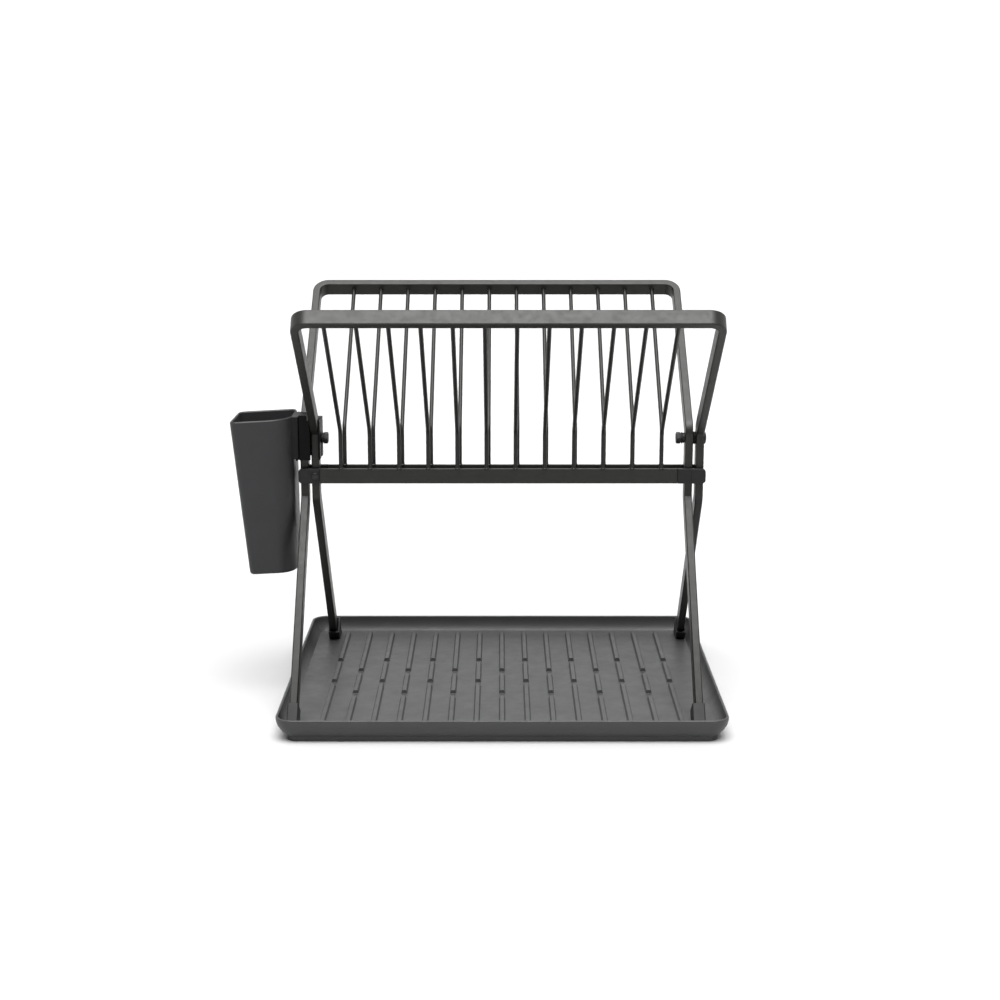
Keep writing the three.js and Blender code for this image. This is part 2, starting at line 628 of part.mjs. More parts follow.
// A plate beside the legs with a slot, open below, that drops over the bolt.
function bracketPlate(fromX, toX, bottom, slotRadius) {
  const half = BRACKET_HALF_DEPTH;
  const shape = new THREE.Shape();
  shape.moveTo(slotRadius, bottom);
  shape.lineTo(half, bottom);
  shape.lineTo(half, BRACKET_TOP);
  shape.lineTo(-half, BRACKET_TOP);
  shape.lineTo(-half, bottom);
  shape.lineTo(-slotRadius, bottom);
  shape.lineTo(-slotRadius, PIVOT_Z);
  shape.absarc(0, PIVOT_Z, slotRadius, Math.PI, 0, true);
  shape.lineTo(slotRadius, bottom);
  return sideExtrusion(shape, fromX, toX);
}

function holderBracket() {
  const outerInside = OUTER_PLATE_X + OUTER_PLATE;
  const innerLegFace = -(INNER_FACE - GAP);
  const rearLegRight = BAR_THICKNESS + GAP - OUTER_FACE;
  const frontLegLeft = -(INNER_FACE + BAR_THICKNESS + GAP);
  const headSlot = BOLT_HEAD / 2 + 2 * GAP;
  const shankSlot = BOLT_DIAMETER / 2 + 2 * GAP;
  const besideHook = BRACKET_HALF_DEPTH - HOOK_REACH - GAP;
  const parts = join(
    bracketPlate(OUTER_PLATE_X, outerInside, BRACKET_BOTTOM_OUT, headSlot),
    bracketPlate(innerLegFace, innerLegFace + PLATE_THICKNESS, BRACKET_BOTTOM_IN, shankSlot),
    bracketWedge(),
    bracketLobe(-1, besideHook, outerInside - CUT / 2, -OUTER_FACE),
    bracketLobe(-1, BRACKET_HALF_DEPTH, -OUTER_FACE, frontLegLeft),
    bracketLobe(1, BRACKET_HALF_DEPTH, rearLegRight, innerLegFace + PLATE_THICKNESS / 2),
  );
  const low = -BRACKET_HALF_DEPTH - CUT;
  const high = [BRACKET_HALF_DEPTH + CUT, BRACKET_TOP + CUT];
  const overOuter = box([OUTER_PLATE_X - CUT, low, OUTER_PLATE_TOP], [-OUTER_FACE, ...high]);
  const overInner = box([rearLegRight, low, INNER_PLATE_TOP], [innerLegFace + 2 * OUTER_PLATE, ...high]);
  const whole = cut(parts, overOuter, overInner);
  return mesh("holder_bracket", geometryOf(whole), MATERIALS.black);
}

// ---------------------------------------------------------------- utensil cup

function cupBody() {
  const narrowing = CUP_HEIGHT * Math.tan(CUP_TAPER);
  const section = (inset, height) => {
    const low = 1 - height / CUP_HEIGHT;
    const lost = narrowing * low + inset;
    const share = 1 - (1 - CUP_BOTTOM_CORNERS) * low;
    const corners = CUP_CORNERS.map((radius) => radius * share - inset);
    return roundedRing(CUP_TOP_WIDTH / 2 - lost, CUP_TOP_DEPTH / 2 - lost, corners, height, 6);
  };
  const outside = solid(lofted([section(0, 0), section(0, CUP_HEIGHT)]));
  const inside = solid(lofted([section(CUP_WALL, CUP_FLOOR), section(CUP_WALL, CUP_HEIGHT + CUT)]));
  const body = geometryOf(cut(outside, inside));
  return solid(body.rotateY(CUP_TILT).translate(...CUP_FOOT));
}

// Two hooked rails on the cup's right wall slide down around the bracket's outer plate.
function cupRail(facing, overlap) {
  const inner = BRACKET_HALF_DEPTH + GAP;
  const outer = inner + RAIL_WALL + GAP;
  const hookX = -(OUTER_FACE + GAP);
  const wallX = OUTER_PLATE_X - overlap;
  const span = (from, to) => [facing * from, facing * to].sort((a, b) => a - b);
  const [webLow, webHigh] = span(inner, outer);
  const [hookLow, hookHigh] = span(BRACKET_HALF_DEPTH - HOOK_REACH, outer);
  return join(
    box([wallX, webLow, RAIL_BOTTOM], [hookX, webHigh, TAB_TOP]),
    box([hookX - RAIL_WALL, hookLow, RAIL_BOTTOM], [hookX, hookHigh, TAB_TOP]),
  );
}

// The tab between the rails that hangs on top of the bracket's outer plate.
function cupTab() {
  const low = [OUTER_PLATE_X - REAR_OVERLAP, -BRACKET_HALF_DEPTH - 2 * GAP, TAB_BOTTOM];
  const high = [-(OUTER_FACE + GAP), BRACKET_HALF_DEPTH + 2 * GAP, TAB_TOP];
  return box(low, high);
}

function utensilCup() {
  const rails = [cupRail(-1, FRONT_OVERLAP), cupRail(1, REAR_OVERLAP)];
  const whole = join(cupBody(), ...rails, cupTab());
  return mesh("utensil_cup", geometryOf(whole), MATERIALS.cup);
}

// ---------------------------------------------------------------- the whole rack

const rearFrame = rackFrame("rear", "right", "left");
rearFrame.rotation.z = Math.PI;

const rack = new THREE.Group();
rack.add(dripTray());
rack.add(pivotHardware());
rack.add(rackFrame("front", "left", "right"));
rack.add(rearFrame);
rack.add(holderBracket());
rack.add(utensilCup());

export default rack;
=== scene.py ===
import json
import math

import bmesh
import bpy
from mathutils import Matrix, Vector


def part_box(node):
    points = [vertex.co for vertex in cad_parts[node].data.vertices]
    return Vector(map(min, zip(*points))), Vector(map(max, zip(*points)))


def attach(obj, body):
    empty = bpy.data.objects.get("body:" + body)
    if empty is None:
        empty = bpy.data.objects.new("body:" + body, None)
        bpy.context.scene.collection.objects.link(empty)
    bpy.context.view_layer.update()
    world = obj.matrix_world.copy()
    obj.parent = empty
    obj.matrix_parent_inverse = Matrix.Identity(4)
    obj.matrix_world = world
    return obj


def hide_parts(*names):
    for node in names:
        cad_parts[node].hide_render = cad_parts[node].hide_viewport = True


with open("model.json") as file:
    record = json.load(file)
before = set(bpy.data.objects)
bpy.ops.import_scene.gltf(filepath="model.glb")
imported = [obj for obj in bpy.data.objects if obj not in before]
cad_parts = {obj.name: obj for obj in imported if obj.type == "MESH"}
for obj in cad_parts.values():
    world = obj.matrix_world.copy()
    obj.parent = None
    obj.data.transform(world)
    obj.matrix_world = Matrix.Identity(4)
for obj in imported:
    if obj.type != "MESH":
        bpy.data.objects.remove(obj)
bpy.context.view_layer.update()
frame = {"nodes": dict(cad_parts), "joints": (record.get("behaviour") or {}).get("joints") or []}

# A folding drying rack over a drip tray, with a utensil cup clipped to its left side. Metres.

# ---------------------------------------------------------------- sizes

TRAY_CORNER = 0.016
TRAY_WALL = 0.0025
TRAY_FLOOR_TOP = 0.007
TRAY_FLOOR_BOTTOM = 0.005
TRAY_OUTSIDE_CURVE = (0.0093, 0.0066)
TRAY_INSIDE_CURVE = (0.0064, 0.0050)
TRAY_CURVE_POWER = 2.2
TRAY_CORNER_LOSS = 0.007
TRAY_RING_CROWDING = 1.6
PLINTH_HALF = (0.195, 0.164)
PLINTH_CORNER = 0.010
PLINTH_BAND = 0.014
PLINTH_EDGE = 0.0006
PLINTH_DROP = 0.0005
POCKET_CORNER = 0.005
# A pocket of the underside, from its opening up to its roof: (inset, height).
POCKET_PROFILE = ((0, 0), (0.0004, 0.0004), (0.0008, 0.0036), (0.0016, 0.0046), (0.003, 0.005))
RIB_COLUMNS = 15
RIB_PITCH = 0.0236
RIB_HALF_WIDTH = 0.0032
RIB_HEIGHT = 0.0035
RIB_SIDE_FLANK = 0.0016
RIB_END_FLANK = 0.0009
# How much of a flank's profile is a straight slope. The rest is an S curve.
RIB_STRAIGHT_SHARE = 0.4
RIB_FLANK_SHARES = (0, 0.15, 0.35, 0.5, 0.65, 0.85, 1)
RIB_MARGIN = 0.003
RIB_RUNS_EVEN = ((-0.148, -0.028), (-0.0155, 0.0415), (0.053, 0.148))
RIB_RUNS_ODD = ((-0.148, -0.065), (-0.050, 0.004), (0.019, 0.148))

BAR_WIDTH = 0.015
BAR_THICKNESS = 0.0075
BAR_EDGE = 0.0011
CORNER_RADIUS = 0.01175
BEND_RADIUS = 0.011
RACK_BAR = Vector((-0.154, 0.380))
UPPER_BEND = Vector((0, 0.257))
LOWER_BEND = Vector((0, 0.191))
FOOT_Y = 0.145
FOOT_LENGTH = 0.0194
FOOT_SOCKET = 0.009
FOOT_EDGE = 0.0007
FOOT_CORNER = 0.0012
FOOT_LEAST_CORNER = 0.0003
FOOT_WALL = 0.0028
FOOT_PLAY = 0.0003

ROD_COUNT = 12
ROD_RADIUS = 0.002
ROD_BEND_RADIUS = 0.014
ROD_SIDES = 16
ROD_SINK = 0.0003
WELD_LENGTH = 0.0014
WELD_SPREAD = 0.4
WELD_SHARES = (0, 0.25, 0.5, 0.75, 1)

BLOCK_CORNER = 0.0035
BLOCK_EDGE = 0.0006
BAND_EDGE = 0.0005
PAD_RELIEF = 0.0004
PAD_EDGE = 0.00036
PAD_INSET = 0.0007
PAD_LENGTH_LEFT = 0.0105
PAD_LENGTH_RIGHT = 0.0145

RIVET_HEAD = 0.0014
RIVET_LIP = 0.0003
RIVET_SHANK = 0.002
BOLT_HEAD = 0.0023
BOLT_LIP = 0.0005
BOLT_SHANK = 0.003
HEAD_CHAMFER = 0.0002
PIVOT_RING_BORE = 0.0033
# A knob's outline: (distance, radius as a share of the flats' radius, or None out to the corners).
# Distances run outwards from the face next to the leg, and then back from the far end.
KNOB_NEAR = ((0, 0.9), (0.0004, 1), (0.0006, None))
KNOB_GROOVE = ((0.0023, None), (0.0021, 0.92), (0.0014, 0.92), (0.0012, None))
KNOB_END = ((0.0005, None), (0.0001, 0.97), (0, 0.92))
KNOB_SIDES = 48
BRACKET_EDGE = 0.0006

CUP_FOOT = Vector((-0.2213, 0, 0.1200))
CUP_HEIGHT = 0.151
CUP_TOP_HALF = (0.029, 0.033)
CUP_TAPER = math.radians(2.5)
CUP_TILT = math.radians(-3)
CUP_CORNERS = (0.009, 0.009, 0.007, 0.024)
CUP_LEAST_CORNER = 0.0008
# How large the corners are at the cup's foot, as a share of those at its top.
CUP_BOTTOM_CORNERS = 0.7
CUP_WALL = 0.0018
CUP_FLOOR = 0.0022
CUP_BOTTOM_EDGE = 0.003
CUP_WALL_STEPS = 10
# Half of the bevelled rim, from the wall up to its crown: (inset, distance below the top).
CUP_RIM_LOWER = ((0, 0.0013), (0.00003, 0.0011), (0.00010, 0.00098))
CUP_RIM_UPPER = ((0.00080, 0.00010), (0.00086, 0.00003), (0.0009, 0))
CUP_RIM = CUP_RIM_LOWER + CUP_RIM_UPPER

# The rails and tab that hang the cup on its bracket.
CLIP_BOTTOM = 0.231
CLIP_TOP = 0.2718
CLIP_GAP = 0.0003
CLIP_EDGE = 0.0003
RAIL_DEPTH = 0.0017
RAIL_OVERLAP_FRONT = 0.0043
RAIL_OVERLAP_BACK = 0.0034
HOOK_X = -0.19465
HOOK_REACH = 0.003
HOOK_THICKNESS = 0.0011
TAB_THICKNESS = 0.0015
TAB_EDGE = 0.0004

SOFTBOX_HEIGHT = math.radians(74)
SOFTBOX_DIRECTION = (0, -math.cos(SOFTBOX_HEIGHT), math.sin(SOFTBOX_HEIGHT))
# The softbox is dark beyond the first angle from its middle, and at full light within the second.
SOFTBOX_EDGE = (math.cos(math.radians(31)), math.cos(math.radians(14)))
SOFTBOX_LIGHT = 10.5
WALL_SPAN = (-0.3, 0.4)
WALL_LIGHT = 0.9
ROOM_LIGHT = 0.08
BACKDROP_LIGHT = 1.2
FLOOR_HALF = 60.0
FLOOR_COLOUR = (0.54, 0.54, 0.54)
CAMERA_LENS = 61.6
CAMERA_PLACE = (-0.002, -1.6265, 0.538)
CAMERA_DOWN = 12.16

PIVOT = Vector(next(j["pos_m"] for j in frame["joints"] if j["name"] == "fold_front"))

# ---------------------------------------------------------------- camera and light


def add_camera():
    data = bpy.data.cameras.new("camera")
    data.sensor_width = 36
    data.lens = CAMERA_LENS
    camera = bpy.data.objects.new("camera", data)
    camera.location = CAMERA_PLACE
    camera.rotation_euler = (math.radians(90 - CAMERA_DOWN), 0, 0)
    bpy.context.scene.collection.objects.link(camera)
    bpy.context.scene.camera = camera


def remapped(nodes, links, value, start, end, low, high):
    """A value carried smoothly from one span to another, and held at its ends."""
    remap = nodes.new("ShaderNodeMapRange")
    remap.interpolation_type = "SMOOTHSTEP"
    for name, number in (("From Min", start), ("From Max", end), ("To Min", low), ("To Max", high)):
        remap.inputs[name].default_value = number
    links.new(value, remap.inputs["Value"])
    return remap.outputs["Result"]


def add_world():
    """A round softbox high in front, a pale wall behind, a dim room, and white to the camera."""
    world = bpy.data.worlds.new("studio")
    world.use_nodes = True
    bpy.context.scene.world = world
    nodes, links = world.node_tree.nodes, world.node_tree.links
    direction = nodes.new("ShaderNodeTexCoord")
    split = nodes.new("ShaderNodeSeparateXYZ")
    links.new(direction.outputs["Generated"], split.inputs[0])
    towards = nodes.new("ShaderNodeVectorMath")
    towards.operation = "DOT_PRODUCT"
    towards.inputs[1].default_value = SOFTBOX_DIRECTION
    links.new(direction.outputs["Generated"], towards.inputs[0])
    softbox = remapped(nodes, links, towards.outputs["Value"], *SOFTBOX_EDGE, 0.0, SOFTBOX_LIGHT)
    wall = remapped(nodes, links, split.outputs["Y"], *WALL_SPAN, ROOM_LIGHT, WALL_LIGHT)
    total = nodes.new("ShaderNodeMath")
    links.new(softbox, total.inputs[0])
    links.new(wall, total.inputs[1])
    room = nodes["Background"]
    room.inputs["Color"].default_value = (1, 1, 1, 1)
    links.new(total.outputs[0], room.inputs["Strength"])
    white = nodes.new("ShaderNodeBackground")
    white.inputs["Color"].default_value = (1, 1, 1, 1)
    white.inputs["Strength"].default_value = BACKDROP_LIGHT
    mix = nodes.new("ShaderNodeMixShader")
    path = nodes.new("ShaderNodeLightPath")
    links.new(path.outputs["Is Camera Ray"], mix.inputs["Fac"])
    links.new(room.outputs[0], mix.inputs[1])
    links.new(white.outputs[0], mix.inputs[2])
    links.new(mix.outputs[0], nodes["World Output"].inputs["Surface"])


def add_floor():
    mesh = bpy.data.meshes.new("studio_floor")
    corners = [(*point, 0) for point in rectangle(FLOOR_HALF, FLOOR_HALF)]
    mesh.from_pydata(corners, [], [(0, 1, 2, 3)])
    floor = bpy.data.objects.new("studio_floor", mesh)
    material = bpy.data.materials.new("studio_floor")
    material.use_nodes = True
    surface = material.node_tree.nodes["Principled BSDF"]
    surface.inputs["Base Color"].default_value = (*FLOOR_COLOUR, 1)
    surface.inputs["Roughness"].default_value = 1.0
    surface.inputs["Specular IOR Level"].default_value = 0.0
    mesh.materials.append(material)
    bpy.context.scene.collection.objects.link(floor)


def add_studio():
    bpy.context.scene.view_settings.view_transform = "Standard"
    add_camera()
    add_world()
    add_floor()


# ---------------------------------------------------------------- materials

NOISE_SPAN = (0.3, 0.7)

class Surface:
    """A Principled material whose colour, roughness and bump are built up in object space."""

    def __init__(self, name, colour, roughness, specular):
        self.material = bpy.data.materials.new(name)
        self.material.use_nodes = True
        self.nodes = self.material.node_tree.nodes
        self.links = self.material.node_tree.links
        self.shader = self.nodes["Principled BSDF"]
        self.shader.inputs["Base Color"].default_value = (*colour, 1)
        self.shader.inputs["Roughness"].default_value = roughness
        self.shader.inputs["Specular IOR Level"].default_value = specular
        self.place = self.nodes.new("ShaderNodeTexCoord").outputs["Object"]
        self.height = None

    def noise(self, scale, detail=2.0, roughness=0.5, stretch=None):
        texture = self.nodes.new("ShaderNodeTexNoise")
        texture.inputs["Scale"].default_value = scale
        texture.inputs["Detail"].default_value = detail
        texture.inputs["Roughness"].default_value = roughness
        source = self.place
        if stretch:
            mapping = self.nodes.new("ShaderNodeMapping")
            mapping.inputs["Scale"].default_value = stretch
            self.links.new(source, mapping.inputs["Vector"])
            source = mapping.outputs[0]
        self.links.new(source, texture.inputs["Vector"])
        return texture.outputs["Fac"]

    def ramp(self, value, low, high):
        """A value remapped so that the noise's usual span runs from low to high."""
        remap = self.nodes.new("ShaderNodeMapRange")
        remap.inputs["From Min"].default_value = NOISE_SPAN[0]
        remap.inputs["From Max"].default_value = NOISE_SPAN[1]
        remap.inputs["To Min"].default_value = low
        remap.inputs["To Max"].default_value = high
        self.links.new(value, remap.inputs["Value"])
        return remap.outputs["Result"]

    def vary_colour(self, value, dark, light):
        blend = self.nodes.new("ShaderNodeMix")
        blend.data_type = "RGBA"
        blend.inputs["A"].default_value = (*dark, 1)
        blend.inputs["B"].default_value = (*light, 1)
        self.links.new(self.ramp(value, 0, 1), blend.inputs["Factor"])
        self.links.new(blend.outputs["Result"], self.shader.inputs["Base Color"])

    def vary_roughness(self, value, low, high):
        self.links.new(self.ramp(value, low, high), self.shader.inputs["Roughness"])

    def bump(self, value, distance, strength):
        node = self.nodes.new("ShaderNodeBump")
        node.inputs["Distance"].default_value = distance
        node.inputs["Strength"].default_value = strength
        self.links.new(value, node.inputs["Height"])
        if self.height:
            self.links.new(self.height, node.inputs["Normal"])
        self.height = node.outputs["Normal"]
        self.links.new(self.height, self.shader.inputs["Normal"])


def shades(colour, spread):
    """A darker and a lighter colour around one colour."""
    return [c * (1 - spread) for c in colour], [c * (1 + spread) for c in colour]


def moulded_plastic(name, colour, roughness, specular, grain=0.00003):
    """Injection-moulded plastic: a fine grain, slow sinks and a slightly uneven gloss."""
    surface = Surface(name, colour, roughness, specular)
    clouds = surface.noise(scale=22, detail=3, roughness=0.6)
    surface.vary_colour(clouds, *shades(colour, spread=0.05))
    gloss = surface.noise(scale=60, detail=4, roughness=0.6)
    surface.vary_roughness(gloss, roughness - 0.06, roughness + 0.06)
    surface.bump(surface.noise(scale=45, detail=1), distance=0.0004, strength=0.12)
    texture = surface.noise(scale=1500, detail=3, roughness=0.65)
    surface.bump(texture, distance=grain, strength=0.5)
    return surface.material


def powder_coat(name, colour, roughness, specular):
    """Powder-coated steel: orange peel under a fine speckle, in a slightly uneven satin gloss."""
    surface = Surface(name, colour, roughness, specular)
    speckle = surface.noise(scale=700, detail=2, roughness=0.7)
    surface.vary_colour(speckle, *shades(colour, spread=0.09))
    gloss = surface.noise(scale=160, detail=3, roughness=0.6)
    surface.vary_roughness(gloss, roughness - 0.05, roughness + 0.07)
    peel = surface.noise(scale=420, detail=2, roughness=0.5)
    surface.bump(peel, distance=0.00009, strength=0.35)
    powder = surface.noise(scale=2400, detail=2, roughness=0.6)
    surface.bump(powder, distance=0.00002, strength=0.4)
    return surface.material


def blackened_steel(name, colour, roughness):
    """Black oxide on a turned head: faint tool marks and patches where the oil has dried."""
    surface = Surface(name, colour, roughness, specular=0.5)
    surface.shader.inputs["Metallic"].default_value = 0.6
    patches = surface.noise(scale=120, detail=3, roughness=0.6)
    surface.vary_colour(patches, *shades(colour, spread=0.2))
    gloss = surface.noise(scale=300, detail=3, roughness=0.6)
    surface.vary_roughness(gloss, roughness - 0.08, roughness + 0.1)
    streaks = surface.noise(scale=900, detail=2, roughness=0.5, stretch=(1, 0.2, 0.2))
    surface.bump(streaks, distance=0.00003, strength=0.4)
    return surface.material


FINE_GRAIN = 0.00002
TRAY_COLOUR = (0.046, 0.046, 0.047)
CUP_COLOUR = (0.026, 0.026, 0.028)
FRAME_COLOUR = (0.014, 0.014, 0.0115)
ROD_COLOUR = (0.010, 0.010, 0.0085)
BLACK = (0.004, 0.004, 0.004)
CLIP_BLACK = (0.008, 0.008, 0.008)
GREY_BLACK = (0.014, 0.014, 0.014)
STEEL_COLOUR = (0.030, 0.030, 0.030)

MATERIALS = {
    "tray_plastic": moulded_plastic("tray_plastic", TRAY_COLOUR, roughness=0.42, specular=0.42),
    "cup_plastic": moulded_plastic("cup_plastic", CUP_COLOUR, roughness=0.48, specular=0.4),
    "frame_coating": powder_coat("frame_coating", FRAME_COLOUR, roughness=0.42, specular=0.4),
    "rod_coating": powder_coat("rod_coating", ROD_COLOUR, roughness=0.4, specular=0.35),
    "black_plastic": moulded_plastic("black_plastic", BLACK, 0.5, 0.1, FINE_GRAIN),
    "grey_plastic": moulded_plastic("grey_plastic", GREY_BLACK, 0.5, 0.3, FINE_GRAIN),
    "clip_plastic": moulded_plastic("clip_plastic", CLIP_BLACK, 0.5, 0.2, FINE_GRAIN),
    "fasteners": blackened_steel("fasteners", STEEL_COLOUR, roughness=0.42),
}

# ---------------------------------------------------------------- mesh building

LEAST_RADIUS = 0.00001
LEAST_CORNER = 0.0001
FLAT_ANGLE = math.radians(1)
SHARP_ANGLE = math.radians(35)

def turned(vector, cosine, sine):
    """A 2D vector turned by the angle with this cosine and sine."""
    return Vector((vector.x * cosine - vector.y * sine, vector.x * sine + vector.y * cosine))


def rounded_outline(points, radii, steps=4):
    """A convex outline with rounded corners. Points run counter-clockwise, each with a radius."""
    outline = []
    count = len(points)
    for i, corner in enumerate(points):
        before = (points[i - 1] - corner).normalized()
        after = (points[(i + 1) % count] - corner).normalized()
        radius = max(radii[i], LEAST_RADIUS)
        half = before.angle(after) / 2
        centre = corner + (before + after).normalized() * (radius / math.sin(half))
        start = corner + before * (radius / math.tan(half)) - centre
        turn = math.pi - 2 * half
        for k in range(steps + 1):
            angle = turn * k / steps
            cosine, sine = math.cos(angle), math.sin(angle)
            outline.append(centre + turned(start, cosine, sine))
    return outline


def rectangle(half_a, half_b, centre=(0, 0)):
    a, b = centre
    corners = ((1, 1), (-1, 1), (-1, -1), (1, -1))
    return [Vector((a + i * half_a, b + j * half_b)) for i, j in corners]


def rounded_rectangle(half_a, half_b, radius, steps=4, centre=(0, 0)):
    radii = radius if isinstance(radius, (list, tuple)) else [radius] * 4
    return rounded_outline(rectangle(half_a, half_b, centre), radii, steps)


def inset_outline(points, distance):
    """A convex counter-clockwise outline with every side moved inwards."""
    count = len(points)
    moved = []
    for i in range(count):
        before = (points[i] - points[i - 1]).normalized()
        after = (points[(i + 1) % count] - points[i]).normalized()
        inward_a = Vector((-before.y, before.x))
        inward_b = Vector((-after.y, after.x))
        scale = distance / (1 + inward_a.dot(inward_b))
        moved.append(points[i] + (inward_a + inward_b) * scale)
    return moved


def edge_steps(radius, steps=3):
    """(inset, depth) pairs that round an edge, from the end face to the full section."""
    pairs = []
    for k in range(steps + 1):
        angle = k / steps * math.pi / 2
        pairs.append((radius * (1 - math.sin(angle)), radius * (1 - math.cos(angle))))
    return pairs


def add_loft(bm, rings, close_start=True, close_end=True):
    """Skins a tube through rings of equal length and returns the vertices, ring by ring."""
    made = [[bm.verts.new(point) for point in ring] for ring in rings]
    count = len(rings[0])
    for lower, upper in zip(made, made[1:]):
        for i in range(count):
            j = (i + 1) % count
            bm.faces.new((lower[i], lower[j], upper[j], upper[i]))
    if close_start:
        bm.faces.new(made[0][::-1])
    if close_end:
        bm.faces.new(made[-1])
    return made


def mesh_of(bm, name):
    bmesh.ops.recalc_face_normals(bm, faces=bm.faces)
    mesh = bpy.data.meshes.new(name)
    bm.to_mesh(mesh)
    bm.free()
    return mesh


def lofted(name, rings):
    bm = bmesh.new()
    add_loft(bm, rings)
    return mesh_of(bm, name)


def add_piece(name, mesh, slot, body, *nodes, material=None):
    """Puts a finished mesh in the scene as a piece that stands for CAD nodes."""
    mesh.materials.clear()
    mesh.materials.append(MATERIALS[material or slot])
    mesh.polygons.foreach_set("use_smooth", [True] * len(mesh.polygons))
    piece = bpy.data.objects.new(name, mesh)
    bpy.context.scene.collection.objects.link(piece)
    normals = piece.modifiers.new("weighted_normals", "WEIGHTED_NORMAL")
    normals.keep_sharp = True
    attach(piece, body)
    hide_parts(*nodes)


def refined(name, node, slot, body, width, segments=2):
    """The CAD solid with its flat facets merged and its outer edges rounded."""
    bm = bmesh.new()
    bm.from_mesh(frame["nodes"][node].data)
    bmesh.ops.remove_doubles(bm, verts=bm.verts, dist=1e-6)
    bmesh.ops.dissolve_limit(bm, angle_limit=FLAT_ANGLE, verts=bm.verts, edges=bm.edges)
    sharp = [e for e in bm.edges if e.is_convex and e.calc_face_angle(0) > SHARP_ANGLE]
    bmesh.ops.bevel(
        bm,
        geom=sharp,
        offset=width,
        segments=segments,
        profile=0.5,
        affect="EDGES",
        clamp_overlap=True,
    )
    add_piece(name, mesh_of(bm, name), slot, body, node)


def rounded_prism(outline, radii, start, end, edge, place):
    """Rings of a prism with rounded corners and edges. place maps (a, b, along) to a point."""
    direction = 1 if end > start else -1
    rings = []
    ends = [(inset, start + direction * depth) for inset, depth in edge_steps(edge)]
    ends += [(inset, end - direction * depth) for inset, depth in reversed(edge_steps(edge))]
    for inset, along in ends:
        corners = [max(radius - inset, LEAST_CORNER) for radius in radii]
        points = rounded_outline(inset_outline(outline, inset), corners)
        rings.append([place(point.x, point.y, along) for point in points])
    return rings


# ---------------------------------------------------------------- drip tray


def tray_ring(half_x, half_y, radius, z):
    steps = 10
    return [Vector((p.x, p.y, z)) for p in rounded_rectangle(half_x, half_y, radius, steps)]


def tray_wall_rings(rim, rim_inset, curve, bottom, steps=14):
    """Rings from the floor up to just below the rim, closer together low down."""
    rings = []
    for k in range(steps + 1):
        rise = (k / steps) ** TRAY_RING_CROWDING
        bend = (1 - rise) ** TRAY_CURVE_POWER
        half_x = rim.x - rim_inset - curve[0] * bend
        half_y = rim.y - rim_inset - curve[1] * bend
        radius = TRAY_CORNER - rim_inset - TRAY_CORNER_LOSS * bend
        rings.append(tray_ring(half_x, half_y, radius, bottom + (rim.z - bottom) * rise))
    return rings


def tray_rim_rings(rim, steps=8):
    """The rounded top edge, from the outside over to the inside."""
    half = TRAY_WALL / 2
    rings = []
    for k in range(1, steps):
        angle = math.pi * k / steps
        inset = half - half * math.cos(angle)
        z = rim.z - half + half * math.sin(angle)
        rings.append(tray_ring(rim.x - inset, rim.y - inset, TRAY_CORNER - inset, z))
    return rings


def rib_height(x, y):
    """How far a rib stands above the floor at a point: sloping sides and steeper ends."""
    column = round(x / RIB_PITCH + (RIB_COLUMNS - 1) / 2)
    column = min(max(column, 0), RIB_COLUMNS - 1)
    centre = (column - (RIB_COLUMNS - 1) / 2) * RIB_PITCH
    runs = RIB_RUNS_ODD if column % 2 else RIB_RUNS_EVEN
    across = RIB_HALF_WIDTH - abs(x - centre)
    along = max(min(y - low, high - y) for low, high in runs)
    side = across / RIB_SIDE_FLANK
    end = along / RIB_END_FLANK
    if side < 1 and end < 1:
        inside = 1 - math.hypot(1 - side, 1 - end)
    else:
        inside = min(side, end)
    t = min(max(inside, 0), 1)
    curve = t * t * (3 - 2 * t)
    return RIB_HEIGHT * (RIB_STRAIGHT_SHARE * t + (1 - RIB_STRAIGHT_SHARE) * curve)


def flank_lines(edges, flank):
    """Grid lines that follow each rib flank, given (where the rib begins, which way it rises)."""
    return [at + way * share * flank for at, way in edges for share in RIB_FLANK_SHARES]


def rib_grid_lines():
    """The x and y of every line of the floor's grid, with a flat margin around the ribs."""
    columns = [(i - (RIB_COLUMNS - 1) / 2) * RIB_PITCH for i in range(RIB_COLUMNS)]
    sides = [(x - RIB_HALF_WIDTH, 1) for x in columns]
    sides += [(x + RIB_HALF_WIDTH, -1) for x in columns]
    ends = {(low, 1) for low, _ in RIB_RUNS_EVEN + RIB_RUNS_ODD}
    ends |= {(high, -1) for _, high in RIB_RUNS_EVEN + RIB_RUNS_ODD}
    lines = []
    for edges, flank in ((sides, RIB_SIDE_FLANK), (sorted(ends), RIB_END_FLANK)):
        places = [at for at, _ in edges]
        outer = [min(places) - RIB_MARGIN, max(places) + RIB_MARGIN]
        lines.append(sorted({round(line, 6) for line in flank_lines(edges, flank) + outer}))
    return lines


def add_rib_floor(bm):
    """The ribbed middle of the floor as a grid, and its outer edges in order."""
    xs, ys = rib_grid_lines()
    grid = [[bm.verts.new((x, y, TRAY_FLOOR_TOP + rib_height(x, y))) for x in xs] for y in ys]
    for near, far in zip(grid, grid[1:]):
        for i in range(len(xs) - 1):
            bm.faces.new((near[i], near[i + 1], far[i + 1], far[i]))
    right = [row[-1] for row in grid[1:]]
    left = [row[0] for row in grid[-2:0:-1]]
    return grid[0] + right + grid[-1][-2::-1] + left


def fill_between(bm, *loops):
    """Fills the flat area between closed loops of vertices."""
    edges = []
    for loop in loops:
        for a, b in zip(loop, loop[1:] + loop[:1]):
            edges.append(bm.edges.get((a, b)) or bm.edges.new((a, b)))
    bmesh.ops.triangle_fill(bm, use_beauty=True, use_dissolve=False, edges=edges)


